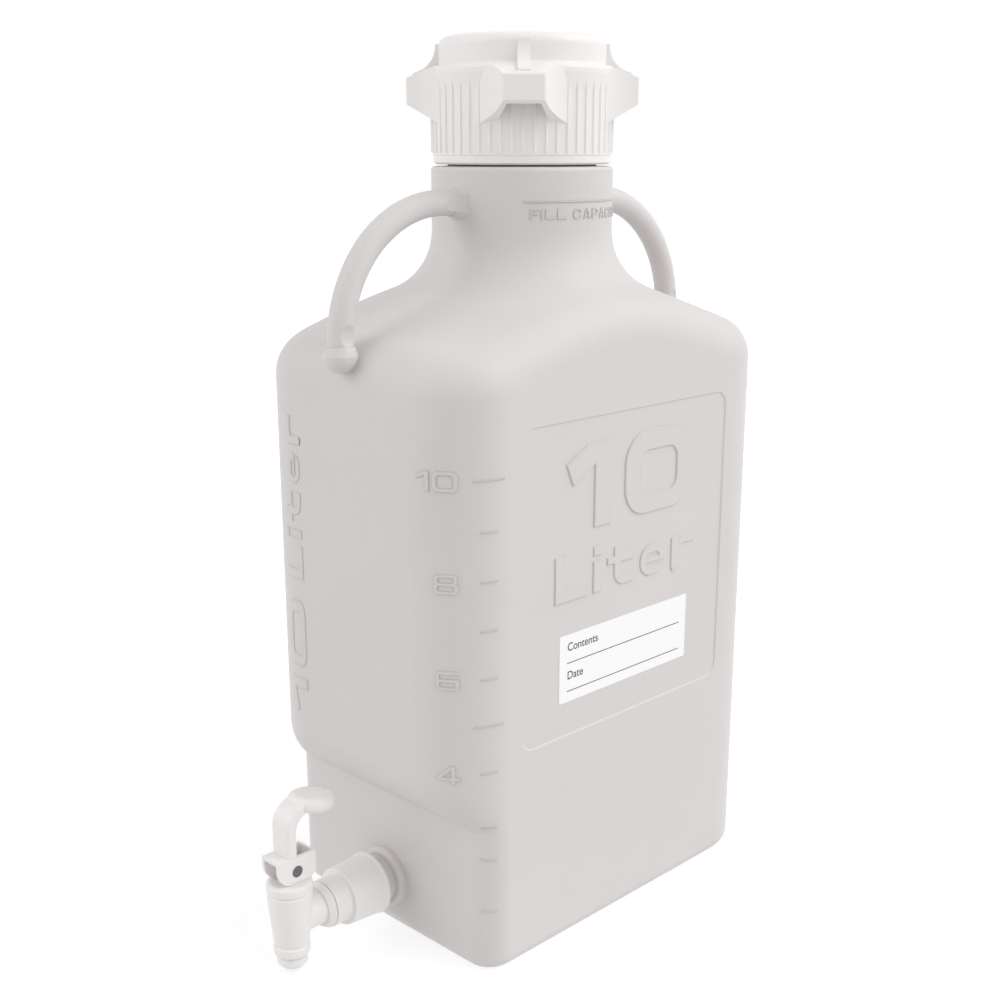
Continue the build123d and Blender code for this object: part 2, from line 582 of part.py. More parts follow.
def make_spring():
    """The coil that holds the cup on its seat."""
    bottom = CUP_TOP - 1.6 + SPRING_WIRE
    length = BONNET_PLUG_BOTTOM - SPRING_WIRE - bottom
    path = Helix(length / SPRING_TURNS, length, SPRING_RADIUS)
    coil = sweep(Plane(path @ 0, z_dir=path % 0) * Circle(SPRING_WIRE), path=path, is_frenet=True)
    return Pos(0, BARREL_Y, bottom) * coil


def make_lever_pin():
    """The cross pin through the ears and the stem's eye."""
    return Pos(0, BARREL_Y + PIN_Y_OFFSET, PIN_Z) * Rot(0, 90, 0) * Cylinder(
        PIN_RADIUS, 2 * EAR_OUTER + 0.2)


# ---------------------------------------------------------------- lever
CAM_LOW = PIN_Z - BONNET_TOP - LEVER_SEAT_GAP     # pin to the ears' flat foot
CAM_RATE = STEM_LIFT / radians(LEVER_TRAVEL)      # lift for each radian of turn
CAM_STEPS = 8


def cam_point(angle):
    """Point of the ears' cam that rests on the bonnet when the lever has turned by angle.

    The pin must stand CAM_LOW + CAM_RATE * angle above the bonnet, so the profile is
    the involute whose distance to its own tangent grows by that rule.
    """
    reach = CAM_LOW + CAM_RATE * angle
    return (-reach * sin(angle) - CAM_RATE * cos(angle),
            -reach * cos(angle) + CAM_RATE * sin(angle))


def ear_outline():
    """An ear's side view about the pin: flat foot, cam at the front, cut corner at the rear."""
    travel = radians(LEVER_TRAVEL)
    cam = [cam_point(travel * k / CAM_STEPS) for k in range(CAM_STEPS + 1)]
    front = cam[-1][0]
    return make_face([
        Spline(*cam),
        Polyline(cam[-1], (front, EAR_TOP), (EAR_REAR, EAR_TOP), (EAR_REAR, -CAM_LOW + EAR_REAR_CUT),
                 (EAR_REAR - EAR_REAR_CUT, -CAM_LOW), cam[0]),
    ])


def make_lever():
    """Forked foot with a closed rear and a front window, curved arm and thumb pad."""
    ears = extrude(Plane.YZ.offset(EAR_INNER) * ear_outline(), EAR_OUTER - EAR_INNER)
    ears = ears + mirror(ears, about=Plane.YZ)
    front = cam_point(radians(LEVER_TRAVEL))[0]
    bridge_rear = -ARM_FRONT + ARM_THICKNESS
    bridge = Pos(0, (front + bridge_rear) / 2, EAR_TOP - BRIDGE_THICKNESS / 2) * Box(
        2 * EAR_OUTER, bridge_rear - front, BRIDGE_THICKNESS)
    wall_bottom = EAR_REAR_CUT - CAM_LOW
    rear_wall = Pos(0, EAR_REAR - EAR_REAR_WALL / 2, (EAR_TOP + wall_bottom) / 2) * Box(
        2 * EAR_OUTER, EAR_REAR_WALL, EAR_TOP - wall_bottom)

    inner_bend = ARM_OUTER_BEND - ARM_THICKNESS
    arm_side = make_face(Polyline(
        (-ARM_FRONT, EAR_TOP - 0.5), (-ARM_FRONT, ARM_TOP), (PAD_CENTRE, ARM_TOP),
        (PAD_CENTRE, ARM_TOP - ARM_THICKNESS), (-ARM_FRONT + ARM_THICKNESS, ARM_TOP - ARM_THICKNESS),
        (-ARM_FRONT + ARM_THICKNESS, EAR_TOP - 0.5), close=True))
    outer_corner = arm_side.vertices().sort_by_distance(Vector(-ARM_FRONT, ARM_TOP, 0))[0]
    arm_side = fillet(outer_corner, ARM_OUTER_BEND)
    inner_at = Vector(-ARM_FRONT + ARM_THICKNESS, ARM_TOP - ARM_THICKNESS, 0)
    arm_side = fillet(arm_side.vertices().sort_by_distance(inner_at)[0], inner_bend + 2)
    arm = extrude(Plane.YZ * arm_side, ARM_WIDTH / 2, both=True)
    arm = fillet(arm.edges().filter_by(Axis.X, reverse=True), 1.2)

    pad = extrude(Ellipse(PAD_HALF_WIDTH, PAD_HALF_LENGTH), PAD_THICKNESS / 2, both=True)
    pad = fillet(pad.edges(), PAD_THICKNESS / 2 - 0.3)
    pad = Pos(0, PAD_CENTRE, ARM_TOP - PAD_THICKNESS / 2 + 0.6) * Rot(PAD_TILT, 0, 0) * pad

    lever = ears + bridge + rear_wall + arm + pad
    pin_hole = Rot(0, 90, 0) * Cylinder(PIN_RADIUS + PIN_GAP, 4 * EAR_OUTER)
    return Pos(0, BARREL_Y + PIN_Y_OFFSET, PIN_Z) * (lever - pin_hole)


# ---------------------------------------------------------------- all nodes
def build():
    """Every node by name."""
    body, front_handle, rear_handle = make_bottle()
    stem = make_valve_stem()
    return {
        "carboy_body": body,
        "front_handle": front_handle,
        "rear_handle": rear_handle,
        "label": make_label(),
        "cap": make_cap(),
        "cap_gasket": make_cap_gasket(),
        "nozzle_gasket": make_nozzle_gasket(),
        "nozzle_closure": make_nozzle_closure(),
        "spigot_body": make_spigot_body(),
        "bonnet": make_bonnet(),
        "valve_stem": stem,
        "seat_cup": make_seat_cup(stem),
        "spring": make_spring(),
        "lever_pin": make_lever_pin(),
        "lever": make_lever(),
    }


os.makedirs("parts", exist_ok=True)
for name, shape in build().items():
    export_step(shape, f"parts/{name}.step")
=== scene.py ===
"""Looks of a ten-litre carboy with a spigot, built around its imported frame."""

import math

import bpy
import numpy as np
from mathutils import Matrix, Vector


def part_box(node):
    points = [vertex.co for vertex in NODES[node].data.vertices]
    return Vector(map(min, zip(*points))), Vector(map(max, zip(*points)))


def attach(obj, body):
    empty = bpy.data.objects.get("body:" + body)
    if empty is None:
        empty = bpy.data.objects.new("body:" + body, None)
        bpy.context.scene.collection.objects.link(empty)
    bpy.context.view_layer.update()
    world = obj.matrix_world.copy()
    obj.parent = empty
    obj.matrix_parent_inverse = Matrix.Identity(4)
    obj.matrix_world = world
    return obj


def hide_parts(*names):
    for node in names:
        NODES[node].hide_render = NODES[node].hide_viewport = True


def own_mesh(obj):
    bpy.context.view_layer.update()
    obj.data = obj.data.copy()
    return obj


bl_info = {
    "name": "Carboy with spigot",
    "version": (1, 0, 0),
    "blender": (4, 5, 0),
    "location": "View3D > Sidebar > Carboy",
    "description": "Moulded marks, threads, label print, plastics and a plain stage",
    "category": "Object",
}

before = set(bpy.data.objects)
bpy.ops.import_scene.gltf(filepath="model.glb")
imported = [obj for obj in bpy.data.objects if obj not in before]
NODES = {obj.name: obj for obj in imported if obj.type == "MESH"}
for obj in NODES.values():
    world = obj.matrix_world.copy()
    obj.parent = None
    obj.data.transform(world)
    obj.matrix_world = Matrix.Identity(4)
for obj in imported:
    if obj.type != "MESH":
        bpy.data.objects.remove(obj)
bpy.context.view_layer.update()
BODY_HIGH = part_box("carboy_body")[1]
LABEL_LOW, LABEL_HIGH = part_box("label")
MM = 0.001
FRONT = -127.0 * MM          # the front face
RECESS_TOP = 82.5 * MM       # height at which the recess starts to grow out to the front face
RECESS_SLOPE = 27.0 * MM     # height over which it does so
RECESS_DEPTH = 19.4 * MM
RECESS_RADIUS = 16.0 * MM    # of the recess's upright corners
BURIED = 0.35 * MM           # how far the foot of a raised mark lies inside the wall
LABEL_LIFT = 0.04 * MM       # how far the label's print stands off its film

# Each lamp's heading about Z and its height over level, in degrees.
LAMPS = {"left_light": (-125, 28), "right_light": (15, 38), "rear_light": (55, 42)}
LAMP_SPREAD = 50


# ---------------------------------------------------------------- settings


class VesselSettings(bpy.types.PropertyGroup):
    """Sizes and colour of the blown vessel and of the marks on it."""

    colour: bpy.props.FloatVectorProperty(
        name="Polyethylene", description="Colour of the vessel's plastic", subtype="COLOR",
        size=3, min=0, max=1, default=(0.655, 0.628, 0.622))
    corner_radius: bpy.props.FloatProperty(
        name="Corner radius", description="Radius of the four upright corners",
        default=35.3 * MM, unit="LENGTH")
    panel_sink: bpy.props.FloatProperty(
        name="Panel sink", description="Depth of the framed panel on the broad side",
        default=0.7 * MM, unit="LENGTH")
    panel_relief: bpy.props.FloatProperty(
        name="Panel relief", description="Height of the big capacity figures",
        default=0.85 * MM, unit="LENGTH")
    front_relief: bpy.props.FloatProperty(
        name="Front relief", description="Height of the capacity on the front",
        default=0.5 * MM, unit="LENGTH")
    mark_relief: bpy.props.FloatProperty(
        name="Mark relief", description="Height of the level marks and small words",
        default=0.5 * MM, unit="LENGTH")
    neck_radius: bpy.props.FloatProperty(
        name="Neck radius", description="Radius of the wide part of the neck",
        default=49.5 * MM, unit="LENGTH")
    finish_radius: bpy.props.FloatProperty(
        name="Finish radius", description="Radius of the cylinder that carries the thread",
        default=40.5 * MM, unit="LENGTH")


class CapSettings(bpy.types.PropertyGroup):
    """Colour of the cap and sizes of the screw thread that holds it."""

    colour: bpy.props.FloatVectorProperty(
        name="Polypropylene", description="Colour of the cap and spigot", subtype="COLOR",
        size=3, min=0, max=1, default=(0.85, 0.825, 0.815))
    bore_radius: bpy.props.FloatProperty(
        name="Bore radius", description="Inside radius of the cap",
        default=42.2 * MM, unit="LENGTH")
    pitch: bpy.props.FloatProperty(
        name="Pitch", description="Rise of the thread in one turn",
        default=6.35 * MM, unit="LENGTH")


class LabelSettings(bpy.types.PropertyGroup):
    """Colours and sizes of the printed write-on label."""

    film: bpy.props.FloatVectorProperty(
        name="Film", description="Colour of the label film", subtype="COLOR",
        size=3, min=0, max=1, default=(0.92, 0.92, 0.92))
    ink: bpy.props.FloatVectorProperty(
        name="Ink", description="Colour of the words and the ruled lines", subtype="COLOR",
        size=3, min=0, max=1, default=(0.045, 0.045, 0.045))
    margin: bpy.props.FloatProperty(
        name="Margin", description="Space between the print and the label's edges",
        default=6.0 * MM, unit="LENGTH")
    word_size: bpy.props.FloatProperty(
        name="Word size", description="Size of the two printed words",
        default=6.5 * MM, unit="LENGTH")
    rule_width: bpy.props.FloatProperty(
        name="Rule width", description="Thickness of the ruled lines",
        default=0.5 * MM, unit="LENGTH")


class StageSettings(bpy.types.PropertyGroup):
    """The camera, the lamps and the floor."""

    eye: bpy.props.FloatVectorProperty(
        name="Eye", description="Where the camera stands", subtype="TRANSLATION",
        size=3, default=(0.5445, -0.5614, 0.426))
    heading: bpy.props.FloatProperty(
        name="Heading", description="Turn of the camera about the upright axis",
        default=math.radians(45.0), subtype="ANGLE")
    pitch: bpy.props.FloatProperty(
        name="Pitch", description="Tilt of the camera below level",
        default=math.radians(15.7), subtype="ANGLE")
    lens: bpy.props.FloatProperty(
        name="Lens", description="Focal length for a sensor 36 mm wide", default=49.86)
    shift_up: bpy.props.FloatProperty(
        name="Shift", description="Upward shift of the lens, in picture widths", default=0.04)
    floor_size: bpy.props.FloatProperty(
        name="Floor", description="Radius of the floor disc", default=6.0, unit="LENGTH")
    floor_glow: bpy.props.FloatProperty(
        name="Floor glow", description="What the floor's paper lacks to look white", default=0.68)
    floor_bounce: bpy.props.FloatProperty(
        name="Floor bounce", description="Light that the floor gives back", default=0.8)
    fill_light: bpy.props.FloatProperty(
        name="Fill light", description="Strength of the light from all round", default=0.56)
    left_light: bpy.props.FloatProperty(
        name="Left light", description="Strength of the lamp in front on the left", default=0.95)
    right_light: bpy.props.FloatProperty(
        name="Right light", description="Strength of the lamp on the right", default=0.9)
    rear_light: bpy.props.FloatProperty(
        name="Rear light", description="Strength of the lamp behind on the right", default=0.95)


SETTINGS = {"vessel": VesselSettings, "cap": CapSettings, "label": LabelSettings,
            "stage": StageSettings}


def settings(group):
    """One property group of this scene, by its short name."""
    return getattr(bpy.context.scene, "carboy_" + group)


# ---------------------------------------------------------------- meshes


def surface(name, points, keep=None, close_u=False, crease=None):
    """A smooth mesh from a grid of points (rows, columns, 3); keep says which cells are made.

    The last argument holds a number for each point, the strength of the painted shade on the
    marks' edges, kept as the mesh's attribute of the same name.
    """
    rows, cols = points.shape[:2]
    number = np.arange(rows * cols).reshape(rows, cols)
    if close_u:
        number = np.concatenate([number, number[:1]])
    quads = np.stack([number[:-1, :-1], number[1:, :-1], number[1:, 1:], number[:-1, 1:]], -1)
    quads = quads[keep] if keep is not None else quads.reshape(-1, 4)
    used, index = np.unique(quads, return_inverse=True)
    piece = solid(name, points.reshape(-1, 3)[used], index.reshape(-1, 4))
    # keeps the painted shade of the marks' edges as a point attribute for the material
    if crease is not None:
        shade = piece.data.attributes.new("crease", "FLOAT", "POINT")
        shade.data.foreach_set("value", crease.ravel()[used].astype(np.float32))
    return piece


def solid(name, points, quads):
    """A mesh object from vertex and quad arrays."""
    mesh = bpy.data.meshes.new(name)
    mesh.vertices.add(len(points))
    mesh.vertices.foreach_set("co", np.ascontiguousarray(points, np.float32).ravel())
    count = len(quads)
    mesh.loops.add(count * 4)
    mesh.loops.foreach_set("vertex_index", quads.astype(np.int32).ravel())
    mesh.polygons.add(count)
    mesh.polygons.foreach_set("loop_start", np.arange(0, count * 4, 4, dtype=np.int32))
    mesh.polygons.foreach_set("use_smooth", np.ones(count, bool))
    mesh.update(calc_edges=True)
    mesh.validate()
    piece = bpy.data.objects.new(name, mesh)
    bpy.context.scene.collection.objects.link(piece)
    return piece


def finish_piece(piece, material, body):
    """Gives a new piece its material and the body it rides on."""
    piece.data.materials.append(material)
    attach(piece, body)


# ---------------------------------------------------------------- raised marks


def box_distance(u, v, shape):
    """Distance to the box (u0, v0, u1, v1): length of the outside offset plus the inside depth."""
    u0, v0, u1, v1 = shape
    qu = np.abs(u - (u0 + u1) / 2) - abs(u1 - u0) / 2
    qv = np.abs(v - (v0 + v1) / 2) - abs(v1 - v0) / 2
    outside = np.hypot(np.maximum(qu, 0), np.maximum(qv, 0))
    return outside + np.minimum(np.maximum(qu, qv), 0)


def slab_distance(u, v, shape):
    """Distance to the rounded box (u0, v0, u1, v1, radius)."""
    u0, v0, u1, v1, radius = shape
    return box_distance(u, v, (u0 + radius, v0 + radius, u1 - radius, v1 - radius)) - radius


def ring_distance(u, v, shape, width):
    """Distance to a band of that width on a rounded box's edge (u0, v0, u1, v1, radius)."""
    return np.abs(slab_distance(u, v, shape)) - width / 2


def polygon_distance(u, v, corners):
    """Distance to a convex polygon, counter-clockwise: the greatest over its edges' lines."""
    distance = np.full(u.shape, -1e3)
    for (u0, v0), (u1, v1) in zip(corners, corners[1:] + corners[:1]):
        outward = ((u - u0) * (v1 - v0) - (v - v0) * (u1 - u0)) / math.hypot(u1 - u0, v1 - v0)
        distance = np.maximum(distance, outward)
    return distance


def bar_distance(u, v, shape, width):
    """Distance to a bar of that width from (u0, v0) to (u1, v1), with square ends."""
    u0, v0, u1, v1 = shape
    length = math.hypot(u1 - u0, v1 - v0)
    cu, cv = (u1 - u0) / length, (v1 - v0) / length
    along = (u - u0) * cu + (v - v0) * cv
    across = (v - v0) * cu - (u - u0) * cv
    return box_distance(along, across, (0, -width / 2, length, width / 2))


# A sign is its width and a list of strokes (kind, numbers, width) in units of its height:
# "bar" and "ring" add a stroke on that line and "slab" a filled rounded box; "cut" takes a box
# and "hole" a rounded box away from what stands so far. W is a stem's usual width, H half of it.
W = 0.24
H = W / 2
SIGNS = {
    "0": (1.28, [("slab", (0, 0, 1.28, 1, 0.30)), ("hole", (0.25, 0.2, 1.03, 0.8, 0.14))]),
    "1": (0.78, [("bar", (0.78 - H, 0, 0.78 - H, 1), W), ("bar", (0.08, 0.66, 0.64, 0.92), 0.22)]),
    "4": (1.26, [("bar", (0.06, 0.29, 1.26, 0.29), 0.20), ("bar", (0.90, 0, 0.90, 1), W),
                 ("bar", (0.08, 0.27, 0.84, 0.93), 0.20)]),
    "6": (1.22, [("slab", (0, 0, 1.22, 1, 0.28)), ("hole", (0.24, 0.18, 0.98, 0.41, 0.08)),
                 ("cut", (0.24, 0.59, 1.5, 0.79))]),
    "8": (1.28, [("slab", (0, 0, 1.28, 0.56, 0.22)), ("slab", (0.05, 0.44, 1.23, 1, 0.22)),
                 ("hole", (0.25, 0.18, 1.03, 0.41, 0.08)),
                 ("hole", (0.27, 0.59, 1.01, 0.82, 0.08))]),
    "A": (1.00, [("bar", (0.12, 0, 0.45, 1), 0.2), ("bar", (0.88, 0, 0.55, 1), 0.2),
                 ("bar", (0.2, 0.28, 0.8, 0.28), 0.16)]),
    "C": (1.00, [("ring", (0.1, 0.1, 0.9, 0.9, 0.25), 0.2), ("cut", (0.6, 0.36, 1.1, 0.64))]),
    "F": (0.85, [("bar", (0.1, 0, 0.1, 1), 0.2), ("bar", (0, 0.91, 0.85, 0.91), 0.18),
                 ("bar", (0, 0.5, 0.75, 0.5), 0.18)]),
    "I": (0.22, [("bar", (0.1, 0, 0.1, 1), 0.2)]),
    "L": (0.98, [("bar", (0.16, 0, 0.16, 1), 0.32), ("bar", (0, H, 0.98, H), W)]),
    "P": (0.95, [("bar", (0.1, 0, 0.1, 1), 0.2), ("ring", (0.1, 0.44, 0.85, 0.91, 0.2), 0.18)]),
    "T": (0.95, [("bar", (0.475, 0, 0.475, 1), 0.2), ("bar", (0, 0.91, 0.95, 0.91), 0.18)]),
    "Y": (1.00, [("bar", (0.5, 0, 0.5, 0.5), 0.2), ("bar", (0.1, 1, 0.52, 0.42), 0.2),
                 ("bar", (0.9, 1, 0.48, 0.42), 0.2)]),
    "e": (0.90, [("ring", (0.12, 0.10, 0.78, 0.59, 0.24), 0.20), ("cut", (0.50, 0.20, 1.0, 0.29)),
                 ("bar", (0.2, 0.34, 0.87, 0.34), 0.12)]),
    "i": (0.26, [("bar", (0.13, 0, 0.13, 0.69), 0.26), ("bar", (0.13, 0.80, 0.13, 1), 0.26)]),
    "r": (0.79, [("ring", (0.13, -1, 1.3, 0.59, 0.30), 0.20), ("cut", (0.79, -2, 3, 3)),
                 ("cut", (0.26, -2, 3, 0.45)), ("bar", (0.13, 0, 0.13, 0.69), 0.26)]),
    "t": (0.87, [("ring", (0.33, 0.12, 2, 2, 0.20), 0.23), ("cut", (0.87, -1, 3, 3)),
                 ("cut", (0.5, 0.26, 3, 3)), ("cut", (-1, 0.87, 3, 3)),
                 ("bar", (0, 0.59, 0.86, 0.59), 0.17)]),
    " ": (0.35, []),
}


def sign_distance(u, v, sign):
    """Signed distance to one sign: the least over its strokes, less what is cut away."""
    distance = np.full(u.shape, 1e3)
    for kind, shape, *width in SIGNS[sign][1]:
        if kind == "cut":
            distance = np.maximum(distance, -box_distance(u, v, shape))
        elif kind == "hole":
            distance = np.maximum(distance, -slab_distance(u, v, shape))
        elif kind == "slab":
            distance = np.minimum(distance, slab_distance(u, v, shape))
        elif kind == "ring":
            distance = np.minimum(distance, ring_distance(u, v, shape, *width))
        else:
            distance = np.minimum(distance, bar_distance(u, v, shape, *width))
    return distance


def word_width(word, height, gap):
    """Length of a word in metres."""
    return height * (sum(SIGNS[s][0] for s in word) + gap * (len(word) - 1))


def word_distance(u, v, word, start, base, height, gap, stretch=1.0):
    """Signed distance in metres to a word that starts at (start, base)."""
    distance, left = np.full(u.shape, 1e3), start
    for sign in word:
        local = sign_distance((u - left) / (height * stretch), (v - base) / height, sign)
        distance = np.minimum(distance, local * height)
        left += height * stretch * (SIGNS[sign][0] + gap)
    return distance


def relief(name, span, step, distance, height, edge, place, crease=1.0):
    """A raised mark on a grid over span = (u0, v0, u1, v1).

    Its height over the wall is height where the signed distance is inside the mark, falls to
    -BURIED over a band as wide as edge on the smooth curve t*t*(3 - 2t), and cells that lie
    wholly at that depth are left out. place turns (u, v, height) into points. Its painted
    shade, darkening the outline in place of real shading, has the last argument's strength on
    the outline and falls evenly to nothing at 1.8 edges from it.
    """
    u0, v0, u1, v1 = span
    u = np.linspace(u0, u1, max(3, int(round((u1 - u0) / step)) + 1))
    v = np.linspace(v0, v1, max(3, int(round((v1 - v0) / step)) + 1))
    u, v = np.meshgrid(u, v, indexing="ij")
    outline = distance(u, v)
    t = np.clip(0.5 - outline / edge, 0, 1)
    # painted shade: darkens the mark's outline, with the strength given by the last argument
    shade = crease * np.clip(1 - np.abs(outline) / (1.8 * edge), 0, 1)
    rise = (height + BURIED) * t * t * (3 - 2 * t) - BURIED
    proud = rise > -0.98 * BURIED
    keep = proud[:-1, :-1] | proud[1:, :-1] | proud[1:, 1:] | proud[:-1, 1:]
    return surface(name, place(u, v, rise), keep, crease=shade)


def on_broad_side(sink):
    """Points of the +X side: x is the side less sink plus the rise, u runs along Y, v is up."""
    level = BODY_HIGH.x - sink

    def place(u, v, rise):
        return np.stack([level + rise, u, v], -1)
    return place


def on_front_upward(u, v, rise):
    """Points of the front for words that read upwards: u is up, v is the length towards -X.

    Past the flat front's edge the length runs on round the upright corner's arc.
    """
    radius = settings("vessel").corner_radius
    flat = BODY_HIGH.x - radius
    angle = np.maximum(v - flat, 0) / radius
    x = -np.minimum(v, flat) - (radius + rise) * np.sin(angle)
    y = FRONT + radius - (radius + rise) * np.cos(angle)
    return np.stack([x, y, u], -1)


def on_corner(radius, centre_x, centre_y):
    """Points of an upright front corner: u is minus the arc length from +X, v is up."""

    def place(u, v, rise):
        angle = -u / radius
        reach = radius + rise
        return np.stack([centre_x + reach * np.cos(angle), centre_y - reach * np.sin(angle), v],
                        -1)
    return place


def on_recess_corner(u, v, rise):
    """Points of the recess's corner: u is minus the arc length from +X, v is up.

    Above the recess the outline grows out to the front face: with t the share of that rise,
    its front edge and corner radius follow 1 - (1 - t) ** 1.8.
    """
    share = np.clip((v - RECESS_TOP) / RECESS_SLOPE, 0, 1)
    out = 1 - (1 - share) ** 1.8
    radius = RECESS_RADIUS + (settings("vessel").corner_radius - RECESS_RADIUS) * out
    front = FRONT + RECESS_DEPTH * (1 - out)
    angle = -u / radius
    return np.stack([BODY_HIGH.x - radius + (radius + rise) * np.cos(angle),
                     front + radius - (radius + rise) * np.sin(angle), v], -1)


def on_neck(radius):
    """Points of the neck: u is the arc length from +X towards +Y, v is up."""

    def place(u, v, rise):
        reach = radius + rise
        return np.stack([reach * np.cos(u / radius), reach * np.sin(u / radius), v], -1)
    return place


# ---------------------------------------------------------------- materials


def shader(name, colour, roughness, **sockets):
    """A new Principled material; constant numbers stand on the shader's own sockets."""
    material = bpy.data.materials.new(name)
    material.use_nodes = True
    tree = material.node_tree
    bsdf = tree.nodes["Principled BSDF"]
    bsdf.inputs["Base Color"].default_value = (*colour, 1)
    bsdf.inputs["Roughness"].default_value = roughness
    for socket, value in sockets.items():
        bsdf.inputs[socket.replace("_", " ")].default_value = value
    return material, tree, bsdf


def add(tree, kind, inputs=None, **values):
    """Adds a node, sets its properties and its unlinked inputs."""
    node = tree.nodes.new(kind)
    for key, value in values.items():
        setattr(node, key, value)
    for key, value in (inputs or {}).items():
        node.inputs[key].default_value = value
    return node


def plastic(name, colour, roughness, grain, depth, cloud, subsurface=0.0, shade=0.0, **sockets):
    """Moulded plastic: cloudy colour and gloss, and a fine grain in its surface.

    colour varies by the share cloud with broad noise, roughness by a tenth with finer noise,
    grain (bumps for each metre) is raised by depth, and the colour is darkened by the share shade
    times the mesh's point attribute, a painted shade on the raised marks' edges.
    """
    material, tree, bsdf = shader(name, colour, roughness, **sockets)
    bsdf.inputs["Subsurface Weight"].default_value = subsurface
    bsdf.inputs["Subsurface Radius"].default_value = (1.0, 0.9, 0.8)
    bsdf.inputs["Subsurface Scale"].default_value = 3.0 * MM
    here = add(tree, "ShaderNodeTexCoord")
    broad = add(tree, "ShaderNodeTexNoise", {"Scale": 14.0, "Detail": 3.0, "Roughness": 0.55})
    ramp = add(tree, "ShaderNodeValToRGB")
    low, high = ramp.color_ramp.elements
    low.position, high.position = 0.3, 0.7
    low.color = (*[c * (1 - cloud) for c in colour], 1)
    high.color = (*[min(1, c * (1 + cloud)) for c in colour], 1)
    fine = add(tree, "ShaderNodeTexNoise", {"Scale": grain, "Detail": 2.0, "Roughness": 0.6})
    gloss = add(tree, "ShaderNodeMapRange", {"To Min": roughness * 0.9, "To Max": roughness * 1.1})
    bump = add(tree, "ShaderNodeBump", {"Strength": 1.0, "Distance": depth})
    link = tree.links.new
    link(here.outputs["Object"], broad.inputs["Vector"])
    link(here.outputs["Object"], fine.inputs["Vector"])
    link(broad.outputs["Fac"], ramp.inputs["Fac"])
    link(ramp.outputs["Color"], bsdf.inputs["Base Color"])
    if shade:
        # painted shade: the point attribute darkens the colour on the marks' edges
        crease = add(tree, "ShaderNodeAttribute", attribute_name="crease")
        share = add(tree, "ShaderNodeMath", {1: shade}, operation="MULTIPLY")
        darker = add(tree, "ShaderNodeMixRGB", {"Color2": (0, 0, 0, 1)})
        link(crease.outputs["Fac"], share.inputs[0])
        link(share.outputs["Value"], darker.inputs["Fac"])
        link(ramp.outputs["Color"], darker.inputs["Color1"])
        link(darker.outputs["Color"], bsdf.inputs["Base Color"])
    link(fine.outputs["Fac"], gloss.inputs["Value"])
    link(gloss.outputs["Result"], bsdf.inputs["Roughness"])
    link(fine.outputs["Fac"], bump.inputs["Height"])
    link(bump.outputs["Normal"], bsdf.inputs["Normal"])
    return material


def dress(material, *nodes):
    """Puts a material in every slot of these CAD nodes."""
    for name in nodes:
        data = NODES[name].data
        if not data.materials:
            data.materials.append(material)
        for index in range(len(data.materials)):
            data.materials[index] = material


def once(name, *values, **more):
    """The plastic of that name, made when it is first asked for."""
    return bpy.data.materials.get(name) or plastic(name, *values, **more)


def polyethylene():
    """The vessel's plastic."""
    return once("natural_polyethylene_matt", settings("vessel").colour, 0.55, 1400.0,
                0.06 * MM, 0.012, subsurface=0.12)


def polyethylene_with_painted_shade():
    """The same plastic with painted shade darkening the marks' edges."""
    # shade=0.26 is the strength of the painted shade on the marks' edges
    return once("natural_polyethylene_raised", settings("vessel").colour, 0.55, 1400.0,
                0.06 * MM, 0.012, subsurface=0.12, shade=0.26)


def polypropylene():
    """The cap's and spigot's plastic."""
    return once("white_polypropylene_satin", settings("cap").colour, 0.42, 2200.0,
                0.025 * MM, 0.008, subsurface=0.08)


def finish_mark(piece):
    """Makes a piece part of the vessel: its plastic with painted shade on the edges, on the
    carboy's body.
    """
    finish_piece(piece, polyethylene_with_painted_shade(), "carboy")


# ---------------------------------------------------------------- operators


class Vessel(bpy.types.Operator):
    """Dresses the vessel and its two handle bars in matt natural polyethylene."""

    bl_idname = "carboy.vessel"
    bl_label = "Vessel and handles"

    def execute(self, context):
        dress(polyethylene(), "carboy_body", "front_handle", "rear_handle")
        return {"FINISHED"}


class CapacityPanel(bpy.types.Operator):
    """Raises the big capacity figure and its unit on the framed broad side."""

    bl_idname = "carboy.capacity_panel"
    bl_label = "Capacity on the panel"

    # The figure's outlines in millimetres along Y and up; the nought's boxes end with a radius.
    stem = (-29.3, 235.0, -16.2, 280.5)
    flag = [(-51.4, 271.9), (-45.9, 259.8), (-16.2, 276.6), (-16.2, 280.5), (-35.2, 280.5)]
    nought = (-4.6, 235.0, 52.1, 281.3, 17.0)
    eye = (8.4, 245.6, 39.5, 270.0, 7.0)

    def execute(self, context):
        own = settings("vessel")
        place = on_broad_side(own.panel_sink)

        def figure(u, v):
            """One from a stem and a slanting flag; nought from two rounded boxes."""
            u, v = u / MM, v / MM
            one = np.minimum(box_distance(u, v, self.stem), polygon_distance(u, v, self.flag))
            ring = np.maximum(slab_distance(u, v, self.nought), -slab_distance(u, v, self.eye))
            return np.minimum(one, ring) * MM

        # the last number, 0.5, is the strength of the painted shade on the figure's outlines
        piece = relief("panel_figure", (-54 * MM, 233 * MM, 54 * MM, 283 * MM), 0.27 * MM,
                       figure, own.panel_relief, 0.8 * MM, place, 0.5)
        finish_mark(piece)

        def unit(u, v):
            """The unit as one word from the sign table."""
            return word_distance(u, v, "Liter", -59 * MM, 198.5 * MM, 25.8 * MM, 0.18)

        # the last number, 0.5, is the strength of the painted shade on the unit's outlines
        piece = relief("panel_unit", (-60 * MM, 197 * MM, 60 * MM, 226 * MM), 0.25 * MM,
                       unit, 0.85 * own.panel_relief, 0.7 * MM, place, 0.5)
        finish_mark(piece)
        return {"FINISHED"}


